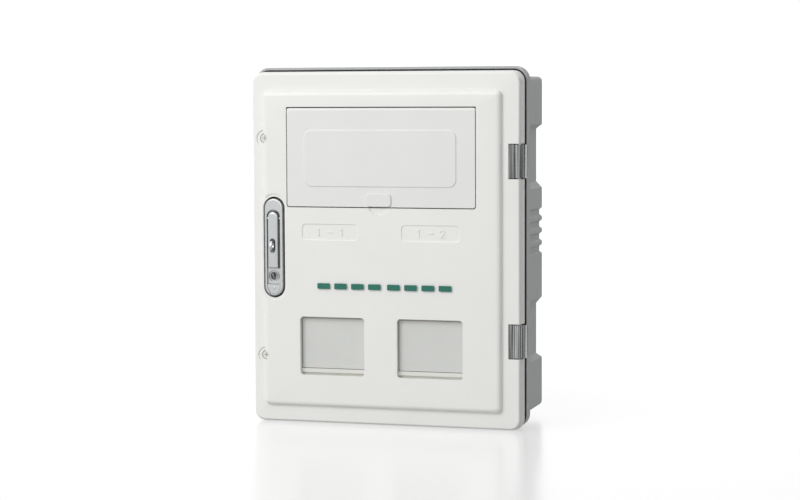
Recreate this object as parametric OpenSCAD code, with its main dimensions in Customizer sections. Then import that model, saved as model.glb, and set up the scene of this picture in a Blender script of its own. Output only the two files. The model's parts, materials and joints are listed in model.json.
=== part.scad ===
// Wall-mounted two-position electric meter box with its meters and breakers.
// Origin: centre of the wall hole pattern on the back face. +Z up, the door faces -Y.

/* [Enclosure] */
// Width of the back box's front rim
rim_w = 398; // [396:1:400]
// Height of the back box's front rim
rim_h = 505.5; // [504:0.5:508]
// Depth of the back box from the wall to its rim
base_d = 135.8; // [134:0.2:138]
// Wall thickness of the back box
wall = 3; // [2.5:0.1:3.5]
// Radius of the wall fixing holes
wall_hole_r = 4.25; // [3:0.05:5]
// Width between the wall fixing holes
wall_hole_w = 330; // [326:1:334]
// Height between the wall fixing holes
wall_hole_h = 430; // [426:1:434]
// Radius of the cable way through each grommet
cable_r = 9; // [6:0.5:11]

/* [Door] */
// Width of the door
door_w = 395; // [393:0.5:396]
// Height of the door
door_h = 500; // [496:1:504]
// Height of the raised centre panel above the door's margin
panel_rise = 8; // [7:0.5:9]
// Distance that the door's centre lies below the back box's centre
door_drop = 5.75; // [5:0.25:6.5]

/* [Fittings] */
// Width of one meter
meter_w = 112; // [100:1:116]
// Height of one meter
meter_h = 140; // [134:1:142]
// Height of the handle lock's outer plate
lock_h = 139.2; // [138:0.2:141]
// Width of the handle lock's outer plate
lock_w = 27.5; // [27:0.1:28.5]

/* [Hidden] */

fn_fine = 64;
fn_hull = 32;
joint_gap = 0.05;

// Depth planes of the door, measured from the wall
door_back = -142;
face = -162;
front = face - panel_rise;
skin = 3;
shoulder_in = 4.7;
shoulder_deep = 15;
door_r = 15;

// Raised panel: outline at its foot, and how far its edge leans in
panel_x0 = -178.9;
panel_x1 = 170.6;
panel_z0 = -225 - door_drop;
panel_z1 = 223 - door_drop;
panel_lean = 7.2;
panel_r = 7;

// Breaker flap opening
flap_x0 = -140.8;
flap_x1 = 133.8;
flap_z0 = 60 - door_drop;
flap_z1 = 198.9 - door_drop;
flap_gap = 1.4;
flap_pivot_y = -165;
flap_pivot_z = flap_z1 - 4;
flap_edge_r = 5;
flap_bead_r = 3.4;
flap_pin_r = 1.5;
mid_x = (flap_x0 + flap_x1) / 2;
tab_x = -5.2;

// Meter windows
win_w = 95.4;
win_h = 83.2;
win_xs = [-75.5, 68];
win_z = -138.2 - door_drop;
pane_y = -160.75;
pane_t = 2.5;
pane_gap = 1;
finger_gap = 9.5;
pane_pivot_z = win_z + win_h / 2 - 3.4;
sleeve_t = 2.2;
sleeve_back = -144;
sill_front = -163.5;
sill_step = -160;
sill_back = -157.5;
sill_h = 8.8;
sill_gap = 3.2;
ledge_front = -158.8;
ledge_w = 3;

// Handle lock: a plate in a well, with a low collar round the well
lock_x = -161.8;
lock_z = 1.35 - door_drop;
lock_front = -172;
lock_seat = face - 0.8;
collar_front = -168.5;
collar_w = lock_w + 11;
collar_h = lock_h + 13;
well_w = lock_w + 4.6;
well_h = lock_h + 4.8;
insert_w = lock_w - 4.1;
insert_h = lock_h - 17;
lock_screw_z = 55;
recess_w = 19.9;
recess_top = 55.1 - door_drop;
recess_floor = -165.2;
lever_w = 15.3;
lever_top = 52.05 - door_drop;
lever_foot = -28.2 - door_drop;
lever_back = -166.2;
lever_front = -175.5;
pivot_z = 42.4 - door_drop;
lever_pivot_y = -169;
lever_pin_r = 1.6;
lever_pin_l = 24.4;
spindle_r = 5;
cam_y = -130.3;
cam_t = 3;

// Padlock eye and its slot in the lever
eye_y = -178;
eye_z = 3.95 - door_drop;
eye_r = 7;
eye_hole_r = 3.8;
eye_t = 3;
slot_w = 8;
slot_h = 20.5;

// Key cylinder and its dust cap
key_z = -39.8 - door_drop;
key_front = -169.3;
key_well_r = 8.5;
key_boss_r = 6.9;
key_body_r = 8;
plug_r = 6;
cap_z = -51.65 - door_drop;
cap_h = 13.1;
cap_w = 19.3;
cap_side = 3.4;
cap_foot = 5.2;
cap_front = -171.5;
cap_back = -169.8;
cap_travel = 18.5;
groove_w = 22;

// Door hinges
hinge_x = 191;
hinge_y = -150;
hinge_zs = [124.8 - door_drop, -124.8 - door_drop];
notch_h = 48.8;
notch_x = 179;
barrel_r = 11.2;
hinge_pin_r = 3;
hinge_grooves = [-70, -55];
leaf_front = -161;
boss_w = 12.4;
bracket_h = 40;

// Seal screws on the door's free side
seal_x = -178;
seal_zs = [156 - door_drop, -154 - door_drop];
seal_head_y = -159.5;

// Back box
rim_back = -115;
rim_t = 4.5;
lip_x = 174;
lip_z = 222;
base_z = -2.5;
body_w = 379;
body_h = 478;
body_top = base_z + body_h / 2;
body_foot = base_z - body_h / 2;
waist_in = 8.5;
pad_r = 7;
rib_zs = [41.3, 23.5, 5.7, -12.1];
rib_gap_w = 13.5;
rib_floor_w = 7;
rib_gap_d = 3.9;
// Side pads: lower and upper end at the outer face, then the same where they meet the waist
pads = [[168, body_top, 161.5, body_top], [-82, 76.4, -92, 85.5], [body_foot, -170.5, body_foot, -165]];
grommet_xs = [-100, 0, 100];
grommet_y = -60;

// Board and fittings
board_y = -40;
board_t = 5;
board_front = board_y - board_t;
spacer_xs = [-148, -3.75, 148];
spacer_zs = [-190, 190];
rail_y = -68;
rail_z = 130 - door_drop;
rail_half = 140;
switch_xs = [-75.5, -3.75, 68];
switch_w = 35.6;
nose_y = -128;
shoulder_y = -112;
toggle_y = -122.5;
toggle_r = 6;
toggle_axle_r = 1.4;
bar_z = 20;
bar_y = -62;
bar_xs = [-72, 72];
bar_l = 110;
meter_z1 = -72;
meter_z0 = meter_z1 - meter_h;
meter_mid = -90;
meter_front = -104;
term_split = meter_z0 + 42;
button_x = 40;
button_z = meter_z1 - 84;
display_z = meter_z1 - 40;

// ---- helpers -------------------------------------------------------------
module ext(y0, y1) {
    translate([0, y1, 0]) rotate([90, 0, 0]) linear_extrude(y1 - y0) children();
}

module rrect(w, h, r, fn = fn_fine) {
    square([w - 2 * r, h], center = true);
    square([w, h - 2 * r], center = true);
    for (sx = [-1, 1], sz = [-1, 1])
        translate([sx * (w / 2 - r), sz * (h / 2 - r)]) circle(r, $fn = fn);
}

module box_outline(x0, x1, z0, z1, r, fn = fn_fine) {
    translate([(x0 + x1) / 2, (z0 + z1) / 2]) rrect(x1 - x0, z1 - z0, r, fn);
}

module stadium(w, h, fn = fn_fine) {
    square([w, h - w], center = true);
    for (s = [-1, 1]) translate([0, s * (h - w) / 2]) circle(w / 2, $fn = fn);
}

// Cylinder along Y from y0 to y1
module rod_y(x, z, r, y0, y1, fn = fn_fine) {
    translate([x, y1, z]) rotate([90, 0, 0]) cylinder(h = y1 - y0, r = r, $fn = fn);
}

// Cylinder along X from x0 to x1
module rod_x(y, z, r, x0, x1, fn = fn_fine) {
    translate([x0, y, z]) rotate([0, 90, 0]) cylinder(h = x1 - x0, r = r, $fn = fn);
}

// Pan head screw along Y with a cross recess, head towards -Y
module screw_y(x, z, head_y, head_r, head_t, shank_r, tip_y) {
    difference() {
        union() {
            rod_y(x, z, head_r, head_y, head_y + head_t);
            rod_y(x, z, shank_r, head_y + head_t, tip_y);
        }
        for (a = [0, 90])
            translate([x, head_y, z]) rotate([0, a, 0]) cube([head_r * 1.1, head_t, 0.9], center = true);
    }
}

// Points of a route whose inner corners are rounded over a distance bend
function route(points, bend) = concat([points[0]],
    [for (i = [1 : len(points) - 2], t = [0 : 0.25 : 1])
        let (p = points[i],
            a = p + bend * unit(points[i - 1] - p),
            b = p + bend * unit(points[i + 1] - p))
        (1 - t) * (1 - t) * a + 2 * t * (1 - t) * p + t * t * b],
    [points[len(points) - 1]]);

function unit(v) = v / norm(v);

function tangent(path, i) = unit(path[min(i + 1, len(path) - 1)] - path[max(i - 1, 0)]);

// Round wire swept along a route as one closed solid
module wire(points, r, bend = 8, sides = 8) {
    path = route(points, bend);
    count = len(path);
    across = [0.6, 0.75, 0.3];
    rings = [for (i = [0 : count - 1], k = [0 : sides - 1])
        let (t = tangent(path, i), n = unit(cross(t, across)), b = cross(t, n), a = 360 * k / sides)
        path[i] + r * cos(a) * n + r * sin(a) * b];
    walls = [for (i = [0 : count - 2], k = [0 : sides - 1])
        let (m = (k + 1) % sides)
        [i * sides + k, i * sides + m, (i + 1) * sides + m, (i + 1) * sides + k]];
    first_cap = [for (k = [sides - 1 : -1 : 0]) k];
    last_cap = [for (k = [0 : sides - 1]) (count - 1) * sides + k];
    polyhedron(rings, concat([first_cap], walls, [last_cap]), convexity = 6);
}

// ---- back box ------------------------------------------------------------
module body_outline(inset = 0) {
    half = body_w / 2 - inset;
    waist = half - waist_in;
    translate([0, base_z]) rrect(2 * waist, body_h - 2 * inset, 18 - inset);
    intersection() {
        translate([0, base_z]) rrect(2 * half, body_h - 2 * inset, pad_r - inset);
        for (p = pads)
            let (z0 = p[0] + inset / 2, z1 = p[1] - inset / 2, w0 = p[2] + inset / 2, w1 = p[3] - inset / 2)
            polygon([[-half, z0], [-half, z1], [-waist, w1], [waist, w1], [half, z1], [half, z0],
                [waist, w0], [-waist, w0]]);
    }
}

module rib_gaps() {
    for (z = rib_zs, s = [-1, 1]) translate([s * body_w / 2, z]) scale([s, 1])
        polygon([[0.4, -rib_gap_w / 2], [0.4, rib_gap_w / 2], [-rib_gap_d, rib_floor_w / 2],
            [-rib_gap_d, -rib_floor_w / 2]]);
}

module cavity_outline() {
    difference() {
        body_outline(wall);
        // thicker side walls behind the ribs
        for (s = [-1, 1]) translate([s * body_w / 2, 0]) square([2 * (rib_gap_d + wall), 220], center = true);
    }
}

module base_shell() {
    color([0.54, 0.56, 0.55]) difference() {
        union() {
            difference() {
                ext(-base_d, rim_back) translate([0, base_z]) rrect(rim_w, rim_h, 19);
                ext(-base_d + rim_t, rim_back + 1) translate([0, base_z]) rrect(rim_w - 6.5, rim_h - 6.5, 16);
            }
            ext(-base_d + rim_t - 1, 0) difference() {
                body_outline();
                rib_gaps();
            }
        }
        ext(-base_d + rim_t, -3.5) cavity_outline();
        ext(-base_d - 1, -base_d + rim_t + 1) rrect(2 * lip_x, 2 * lip_z, 8);
        for (sx = [-1, 1], sz = [-1, 1])
            rod_y(sx * wall_hole_w / 2, sz * wall_hole_h / 2, wall_hole_r, -10, 1);
        for (x = grommet_xs)
            translate([x, grommet_y, body_foot - 1]) cylinder(h = 10, r = 14, $fn = fn_fine);
        bracket_seats();
        for (z = seal_zs) rod_y(seal_x, z, 2.5, -base_d - 1, -base_d + rim_t + 1);
    }
}

// Seats of the hinge brackets in the rim
module bracket_seats() {
    for (z = hinge_zs)
        translate([hinge_x - 8.2, -base_d - 1, z - bracket_h / 2 - 0.3]) cube([30, 8, bracket_h + 0.6]);
}

module door_gasket() {
    color([0.06, 0.06, 0.06]) difference() {
        union() {
            ext(-base_d - 0.5, -base_d)
                box_outline(-rim_w / 2 + 0.4, rim_w / 2 - 0.4, base_z - rim_h / 2 + 1,
                    base_z + rim_h / 2 - 3.5, 18);
            ext(-139.7, -base_d) rrect(2 * lip_x + 14, 2 * lip_z + 14, 14);
        }
        ext(-141, -base_d + 1) rrect(2 * lip_x + 2, 2 * lip_z + 2, 9);
        bracket_seats();
        for (z = seal_zs) rod_y(seal_x, z, 3.4, -141, -base_d + 1);
    }
}

module cable_grommets() {
    color([0.1, 0.1, 0.1]) for (x = grommet_xs)
        translate([x, grommet_y, body_foot]) difference() {
            union() {
                translate([0, 0, -3]) cylinder(h = 3, r = 17, $fn = fn_fine);
                cylinder(h = wall, r = 13.95, $fn = fn_fine);
                translate([0, 0, wall]) cylinder(h = 3, r = 16, $fn = fn_fine);
            }
            translate([0, 0, -4]) cylinder(h = 12, r = cable_r, $fn = fn_fine);
        }
}

module hinge_brackets() {
    color([0.62, 0.64, 0.66]) for (z = hinge_zs) difference() {
        union() {
            translate([hinge_x, hinge_y, z - 23]) linear_extrude(46) difference() {
                circle(barrel_r, $fn = 96);
                for (a = hinge_grooves) rotate(a) translate([barrel_r - 0.3, 0]) circle(1.3, $fn = 24);
            }
            translate([hinge_x - 8, hinge_y + 2, z - bracket_h / 2]) cube([15.4, 19.1, bracket_h]);
        }
        translate([hinge_x, hinge_y, z - 30]) cylinder(h = 60, r = hinge_pin_r + joint_gap, $fn = fn_fine);
    }
}

// Leaves on the door that close each notch beside the barrel
module hinge_leaves() {
    color([0.62, 0.64, 0.66]) for (z = hinge_zs) difference() {
        translate([notch_x, leaf_front, z - 23.4]) cube([9, 13, 46.8]);
        translate([hinge_x, hinge_y, z - 30]) cylinder(h = 60, r = barrel_r + 0.4, $fn = 96);
        for (x = [1.4, 5.6]) translate([notch_x + x, leaf_front, z - 30]) cylinder(h = 60, r = 0.5, $fn = 16);
    }
}

module hinge_pins() {
    color([0.75, 0.76, 0.78]) for (z = hinge_zs)
        translate([hinge_x, hinge_y, z - notch_h / 2 - 6])
            cylinder(h = notch_h + 12, r = hinge_pin_r, $fn = fn_fine);
}

// ---- board, rail and bars --------------------------------------------------
module board_points() {
    for (x = spacer_xs, z = spacer_zs) translate([x, 0, z]) children();
}

module mounting_board() {
    color([0.83, 0.80, 0.70]) difference() {
        ext(board_front, board_y) rrect(316, 408, 6);
        board_points() rod_y(0, 0, 2.6, board_front - 1, board_y + 1);
    }
}

module board_spacers() {
    color([0.45, 0.47, 0.47]) board_points() difference() {
        rod_y(0, 0, 7, board_y, -3.5);
        rod_y(0, 0, 2.1, board_y - 1, -12);
    }
}

module board_screws() {
    color([0.7, 0.71, 0.72]) board_points() screw_y(0, 0, board_front - 2.6, 4.6, 2.6, 2, board_y + 14);
}

module din_rail() {
    web_y = rail_y + 7.5;
    color([0.72, 0.73, 0.74]) difference() {
        translate([-rail_half, 0, rail_z]) rotate([90, 0, 90]) linear_extrude(2 * rail_half) union() {
            translate([web_y - 1, -13.5]) square([1, 27]);
            for (s = [-1, 1]) {
                translate([rail_y, s * 13 - 0.5]) square([7.5, 1]);
                translate([rail_y, s * 15 - 2.5]) square([1, 5]);
            }
        }
        for (x = [-120 : 24 : 120]) translate([x, 0, rail_z]) ext(web_y - 2, web_y + 1) rrect(15, 6.2, 3);
    }
}

module rail_brackets() {
    bracket_y = rail_y + 7.5;
    color([0.62, 0.63, 0.64]) for (s = [-1, 1]) translate([s * 122, 0, rail_z]) {
        translate([-9, bracket_y, -12]) cube([18, 2, 24]);
        translate([-9, board_front - 2, -12]) cube([18, 2, 24]);
        translate([-1.5, bracket_y, -12]) cube([3, board_front - bracket_y, 24]);
    }
}

module bar(x) {
    difference() {
        translate([x - bar_l / 2, bar_y - 5, bar_z - 5]) cube([bar_l, 10, 10]);
        for (i = [0 : 6]) {
            translate([x - 42 + 14 * i, bar_y, bar_z - 6]) cylinder(h = 12, r = 2.6, $fn = 32);
            rod_y(x - 42 + 14 * i, bar_z, 2.05, bar_y - 6, bar_y - 1);
        }
    }
}

module neutral_bar() { color([0.80, 0.62, 0.28]) bar(bar_xs[0]); }

module earth_bar() { color([0.80, 0.62, 0.28]) bar(bar_xs[1]); }

module bar_supports() {
    for (i = [0, 1], s = [-1, 1])
        color(i == 0 ? [0.15, 0.35, 0.65] : [0.2, 0.55, 0.3]) translate([bar_xs[i] + s * 50, 0, bar_z])
            difference() {
                translate([-5, bar_y - 8, -9]) cube([10, board_front - bar_y + 8, 18]);
                translate([-6, bar_y - 5, -5]) cube([12, 10, 10]);
            }
}

module bar_screws() {
    color([0.74, 0.75, 0.76]) for (i = [0, 1], k = [0 : 6])
        screw_y(bar_xs[i] - 42 + 14 * k, bar_z, bar_y - 7.5, 3, 2.5, 2, bar_y - 2.8);
}

// ---- switches --------------------------------------------------------------
module switch_case(x, poles) {
    side = [[rail_y + 5, 38], [rail_y + 5, 17.8], [rail_y - 0.2, 17.8], [rail_y - 0.2, -17.8],
        [rail_y + 5, -17.8], [rail_y + 5, -38], [rail_y - 2, -41], [shoulder_y, -41],
        [shoulder_y, -22.5], [nose_y, -22.5], [nose_y, 22.5], [shoulder_y, 22.5], [shoulder_y, 41],
        [rail_y - 2, 41]];
    pole_w = switch_w / poles;
    difference() {
        translate([x - switch_w / 2, 0, rail_z]) rotate([90, 0, 90]) linear_extrude(switch_w) polygon(side);
        rod_x(toggle_y, rail_z, toggle_r + 0.6, x - 14, x + 14);
        translate([x - 14, nose_y - 1, rail_z - 8.6]) cube([28, 6, 17.2]);
        for (p = [0 : poles - 1], s = [-1, 1]) {
            px = x - switch_w / 2 + pole_w * (p + 0.5);
            rod_y(px, rail_z + s * 32, 4, shoulder_y - 1, shoulder_y + 12);
            translate([px, -92, rail_z + s * 36]) cube([9, 9, 11], center = true);
        }
        translate([x, 0, rail_z]) cube([0.8, 400, 100], center = true);
    }
    // web that joins the poles, and the toggle's axle
    translate([x - 1, nose_y + 16, rail_z - 20]) cube([2, 30, 40]);
    rod_x(toggle_y, rail_z, toggle_axle_r, x - 14.5, x + 14.5, 32);
}

module main_switch_case() { color([0.90, 0.91, 0.90]) switch_case(switch_xs[1], 2); }

module breaker_left_case() { color([0.92, 0.92, 0.90]) switch_case(switch_xs[0], 2); }

module breaker_right_case() { color([0.92, 0.92, 0.90]) switch_case(switch_xs[2], 2); }

module switch_screws() {
    color([0.74, 0.75, 0.76]) for (x = switch_xs, p = [-1, 1], s = [-1, 1])
        screw_y(x + p * switch_w / 4, rail_z + s * 32, shoulder_y + 4, 3.6, 3, 2, shoulder_y + 11);
}

module toggle(x) {
    translate([0, toggle_y, rail_z]) rotate([-35, 0, 0]) difference() {
        union() {
            rod_x(0, 0, toggle_r, x - 13.4, x + 13.4);
            translate([x - 13.4, -14, -3]) cube([26.8, 14, 5]);
            rod_x(-14, -0.5, 2.5, x - 13.4, x + 13.4, 32);
        }
        rod_x(0, 0, toggle_axle_r + 0.08, x - 20, x + 20, 32);
    }
}

module main_switch_toggle() { color([0.75, 0.16, 0.12]) toggle(switch_xs[1]); }

module breaker_left_toggle() { color([0.12, 0.14, 0.16]) toggle(switch_xs[0]); }

module breaker_right_toggle() { color([0.12, 0.14, 0.16]) toggle(switch_xs[2]); }

// ---- meters ----------------------------------------------------------------
module meter_case(x) {
    difference() {
        ext(meter_mid, board_front) box_outline(x - meter_w / 2, x + meter_w / 2, term_split, meter_z1, 6);
        ext(meter_mid - 1, board_front - 6)
            box_outline(x - meter_w / 2 + 2.5, x + meter_w / 2 - 2.5, term_split + 2.5, meter_z1 - 2.5, 4);
    }
    for (s = [-1, 1]) rod_y(x + s * 48, term_split + 9, 4, meter_mid, board_front - 5);
    translate([x - 12, board_front - 6, meter_z1 - 1]) cube([24, 6, 12]);
}

module meter_cover(x) {
    difference() {
        ext(meter_front, meter_mid) box_outline(x - meter_w / 2, x + meter_w / 2, term_split, meter_z1, 6);
        ext(meter_front + 2.5, meter_mid + 1)
            box_outline(x - meter_w / 2 + 2.5, x + meter_w / 2 - 2.5, term_split + 2.5, meter_z1 - 2.5, 4);
        ext(meter_front - 1, meter_mid) box_outline(x - 37, x + 37, display_z - 16, display_z + 16, 3);
        rod_y(x + button_x, button_z, 5.3, meter_front - 1, meter_mid);
        rod_y(x - 40, button_z, 2.4, meter_front - 1, meter_mid, 32);
        for (s = [-1, 1]) rod_y(x + s * 48, term_split + 9, 2.1, meter_front - 1, meter_mid + 1);
    }
}

module meter_display(x) {
    ext(meter_front + 2.5, meter_front + 5) box_outline(x - 41, x + 41, display_z - 20, display_z + 20, 3);
    ext(meter_front + 5, meter_front + 11) box_outline(x - 34, x + 34, display_z - 15, display_z + 15, 1);
}

module meter_terminals(x) {
    difference() {
        ext(-84, board_front) box_outline(x - meter_w / 2, x + meter_w / 2, meter_z0, term_split - 0.4, 3);
        for (i = [0 : 3]) {
            translate([x - 30 + 20 * i, -66, meter_z0 - 1]) cylinder(h = 26, r = 4, $fn = 32);
            for (k = [0, 1]) rod_y(x - 30 + 20 * i, meter_z0 + 9 + 11 * k, 3.5, -85, -72, 32);
        }
    }
}

module meter_terminal_cover(x) {
    difference() {
        ext(meter_front + 3, meter_mid + 5.7)
            box_outline(x - meter_w / 2, x + meter_w / 2, meter_z0, term_split - 0.4, 5);
        ext(meter_front + 5.2, meter_mid + 6)
            box_outline(x - meter_w / 2 + 2.2, x + meter_w / 2 - 2.2, meter_z0 - 9, term_split - 2.6, 3);
        for (s = [-1, 1]) rod_y(x + s * 46, meter_z0 + 20, 2.1, meter_front, meter_mid + 9);
    }
}

module meter_button(x) {
    rod_y(x + button_x, button_z, 5, meter_front - 1.8, meter_front + 4);
    rod_y(x + button_x, button_z, 6.4, meter_front + 4, meter_front + 5.5);
}

module meter_seal_screws() {
    color([0.72, 0.73, 0.74]) for (x = win_xs, s = [-1, 1]) {
        screw_y(x + s * 48, term_split + 9, meter_front - 2.5, 3.8, 2.5, 2, meter_mid);
        screw_y(x + s * 46, meter_z0 + 20, meter_front + 0.5, 3.8, 2.5, 2, meter_front + 20);
    }
}

module meter_left_case() { color([0.86, 0.87, 0.86]) meter_case(win_xs[0]); }

module meter_right_case() { color([0.86, 0.87, 0.86]) meter_case(win_xs[1]); }

module meter_left_cover() { color([0.90, 0.91, 0.90]) meter_cover(win_xs[0]); }

module meter_right_cover() { color([0.90, 0.91, 0.90]) meter_cover(win_xs[1]); }

module meter_left_display() { color([0.52, 0.60, 0.50]) meter_display(win_xs[0]); }

module meter_right_display() { color([0.52, 0.60, 0.50]) meter_display(win_xs[1]); }

module meter_left_terminals() { color([0.20, 0.21, 0.22]) meter_terminals(win_xs[0]); }

module meter_right_terminals() { color([0.20, 0.21, 0.22]) meter_terminals(win_xs[1]); }

module meter_left_terminal_cover() { color([0.84, 0.85, 0.84]) meter_terminal_cover(win_xs[0]); }

module meter_right_terminal_cover() { color([0.84, 0.85, 0.84]) meter_terminal_cover(win_xs[1]); }

module meter_left_button() { color([0.25, 0.27, 0.28]) meter_button(win_xs[0]); }

module meter_right_button() { color([0.25, 0.27, 0.28]) meter_button(win_xs[1]); }

// ---- wiring ----------------------------------------------------------------
// Vertical riser from a switch's lower terminal down beside a meter to the meter's terminals
module riser(x, lane_x, term_x, lane_y, r) {
    top = rail_z - 41;
    low = meter_z0 - 9;
    wire([[x, -92, top + 3], [x, -92, top - 14], [lane_x, lane_y, top - 34], [lane_x, lane_y, low],
        [term_x, -66, low], [term_x, -66, meter_z0 + 18]], r);
}

module live_wires() {
    color([0.62, 0.12, 0.10]) {
        riser(switch_xs[0] - 8.9, -142, win_xs[0] - 30, -52, 2.2);
        riser(switch_xs[2] - 8.9, 4, win_xs[1] - 30, -52, 2.2);
    }
}

module neutral_wires() {
    color([0.12, 0.25, 0.55]) {
        riser(switch_xs[0] + 8.9, -10, win_xs[0] + 30, -52, 2.2);
        riser(switch_xs[2] + 8.9, 142, win_xs[1] + 30, -52, 2.2);
    }
}

// ---- door ------------------------------------------------------------------
module digit_one() {
    translate([0, 0]) square([2, 11], center = true);
    translate([-1.6, 3.9]) rotate(40) square([4, 1.6], center = true);
}

module digit_two() {
    translate([0, 1.9]) difference() {
        circle(3.8, $fn = fn_fine);
        circle(2, $fn = fn_fine);
        translate([-5, -5]) square(5);
        translate([-1, -5]) square([6, 3.4]);
    }
    translate([-0.4, -2.4]) rotate(42) square([7.4, 1.8], center = true);
    translate([0, -4.6]) square([7.6, 1.8], center = true);
}

module plaque(x0, x1, second) {
    z0 = 12.2 - door_drop;
    z1 = 35.5 - door_drop;
    mid = (x0 + x1) / 2;
    difference() {
        hull() {
            ext(front - 1, front) box_outline(x0, x1, z0, z1, 6, fn_hull);
            ext(front - 1, front + 1) box_outline(x0 + 1, x1 - 1, z0 + 1, z1 - 1, 5, fn_hull);
        }
        ext(front + 0.2, front + 2) translate([mid, (z0 + z1) / 2]) {
            translate([-17, 0]) digit_one();
            square([7, 1.8], center = true);
            translate([17, 0]) if (second == 1) digit_one(); else digit_two();
        }
    }
}

// Outer form of the door: rounded shoulder and raised panel
module door_form() {
    steps = [0, 20, 40, 60, 90];
    hull() for (a = steps) {
        inset = shoulder_in * (1 - sin(a));
        y = face + shoulder_deep * (1 - cos(a));
        ext(y, door_back) translate([0, -door_drop])
            rrect(door_w - 2 * inset, door_h - 2 * inset, door_r - inset, fn_hull);
    }
    hull() for (a = steps) {
        inset = panel_lean * (1 - cos(a));
        ext(face - panel_rise * sin(a), face + 1)
            box_outline(panel_x0 + inset, panel_x1 - inset, panel_z0 + inset, panel_z1 - inset,
                panel_r - inset * 0.8, fn_hull);
    }
}

module door_panel() {
    color([0.90, 0.90, 0.88]) difference() {
        union() {
            difference() {
                door_form();
                ext(-152, door_back + 1) translate([0, -door_drop]) rrect(door_w - 9, door_h - 9, 11);
                ext(face + skin, door_back + 1) translate([0, -door_drop]) rrect(door_w - 19, door_h - 19, 8);
                ext(front + skin, face + skin + 1)
                    box_outline(panel_x0 + 8, panel_x1 - 8, panel_z0 + 8, panel_z1 - 8, 5);
            }
            // collar round the lock's well
            translate([lock_x, 0, lock_z]) hull() {
                ext(collar_front, face) stadium(collar_w - 2, collar_h - 2, fn_hull);
                ext(collar_front + 1, face + skin) stadium(collar_w, collar_h, fn_hull);
            }
            // hinge bosses above and below each notch
            for (z = hinge_zs, s = [-1, 1])
                translate([hinge_x - 8, -158, z + s * (notch_h / 2 + 4) - 4]) cube([boss_w, 16, 8]);
            for (z = seal_zs) rod_y(seal_x, z, 9.5, face + 1, door_back - 1);
        }
        // the panel steps down to the collar, and the well holds the lock plate
        ext(front - 1, collar_front) translate([lock_x, lock_z]) stadium(collar_w, collar_h);
        ext(front - 1, face) translate([lock_x, lock_z]) stadium(well_w, well_h);
        // breaker flap opening, with tight upper corners, and its finger notch
        ext(front - 1, face + skin) {
            box_outline(flap_x0 - flap_gap, flap_x1 + flap_gap, flap_z0 - flap_gap, flap_z1 + flap_gap, 4);
            box_outline(flap_x0 - flap_gap, flap_x1 + flap_gap, flap_z1 - 12, flap_z1 + flap_gap, 1.2);
        }
        ext(front - 1, front + 2) translate([tab_x, flap_z0 + 4]) circle(16, $fn = fn_fine);
        // meter windows
        for (x = win_xs)
            ext(front - 1, face + skin) translate([x, win_z]) rrect(win_w, win_h, 5);
        plaque(-119.3, -36.3, 1);
        plaque(27.2, 111.9, 2);
        // lock opening
        ext(face - 1, face + skin + 1) translate([lock_x, lock_z]) stadium(insert_w + 0.6, insert_h + 0.6);
        // hinge notches and pin bores
        for (z = hinge_zs) {
            translate([notch_x, front - 1, z - notch_h / 2]) cube([40, 40, notch_h]);
            translate([hinge_x, hinge_y, z - 31])
                cylinder(h = 62, r = hinge_pin_r + joint_gap, $fn = fn_fine);
        }
        // seal screw recesses
        for (z = seal_zs) {
            intersection() {
                rod_y(seal_x, z, 11.7, face - 0.5, face + 1.6);
                translate([panel_x0 - 40, face - 1, z - 20]) cube([40, 5, 40]);
            }
            rod_y(seal_x, z, 6.8, front - 1, seal_head_y + 4);
            rod_y(seal_x, z, 3.1, front, door_back + 1);
        }
    }
}

module breaker_tray() {
    color([0.82, 0.83, 0.81]) difference() {
        union() {
            ext(front + skin, front + skin + 2)
                box_outline(flap_x0 - 4, flap_x1 + 12, flap_z0 - 4, flap_z1 + 7, 6);
            ext(front + skin, -130) box_outline(flap_x0 - 4, flap_x1 + 4, flap_z0 - 4, flap_z1 + 4, 6);
        }
        ext(front, -132) box_outline(flap_x0 - 1.8, flap_x1 + 1.8, flap_z0 - 1.8, flap_z1 + 1.8, 4);
        ext(-140, -120) translate([mid_x, rail_z]) rrect(206, 52, 6);
        // room for the lock's collar
        ext(front, face + skin + 0.5) translate([lock_x, lock_z]) stadium(collar_w + 0.8, collar_h + 0.8);
        for (s = [-1, 1])
            rod_x(flap_pivot_y, flap_pivot_z, flap_pin_r + joint_gap, mid_x + s * 142 - 6,
                mid_x + s * 142 + 6, 32);
    }
}

module window_frame(x) {
    difference() {
        union() {
            ext(front + skin, sleeve_back) translate([x, win_z])
                rrect(win_w + 2 * sleeve_t, win_h + 2 * sleeve_t, 7);
            ext(front + skin, front + skin + 2) translate([x, win_z]) rrect(win_w + 14, win_h + 14, 8);
        }
        ext(front, sleeve_back + 1) translate([x, win_z]) rrect(win_w, win_h, 5);
        rod_x(pane_y, pane_pivot_z, 1.25, x - win_w / 2 - 1.6, x + win_w / 2 + 1.6, 32);
    }
    // stepped sill bar below the pane
    translate([0, 0, win_z - win_h / 2]) {
        ext(sill_step, sill_back) translate([x, sill_h / 2 - 0.5])
            square([win_w + 2, sill_h + 1], center = true);
        ext(sill_front, sill_back) translate([x, (sill_h + sill_gap) / 2])
            square([win_w + 2, sill_h - sill_gap], center = true);
    }
    // ledge behind the pane's edges
    ext(ledge_front, ledge_front + 2) translate([x, win_z]) difference() {
        square([win_w + 2, win_h + 2], center = true);
        square([win_w - 2 * ledge_w, win_h - 2 * ledge_w], center = true);
    }
}

module window_glass(x) {
    ext(sleeve_back, sleeve_back + 2) translate([x, win_z])
        rrect(win_w + 2 * sleeve_t, win_h + 2 * sleeve_t, 7);
}

module window_pane(x) {
    z0 = win_z - win_h / 2 + finger_gap;
    ext(pane_y - pane_t / 2, pane_y + pane_t / 2)
        box_outline(x - win_w / 2 + pane_gap, x + win_w / 2 - pane_gap, z0, pane_pivot_z, 2);
    rod_x(pane_y, pane_pivot_z, 1.2, x - win_w / 2 - 1.3, x + win_w / 2 + 1.3, 32);
}

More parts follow.
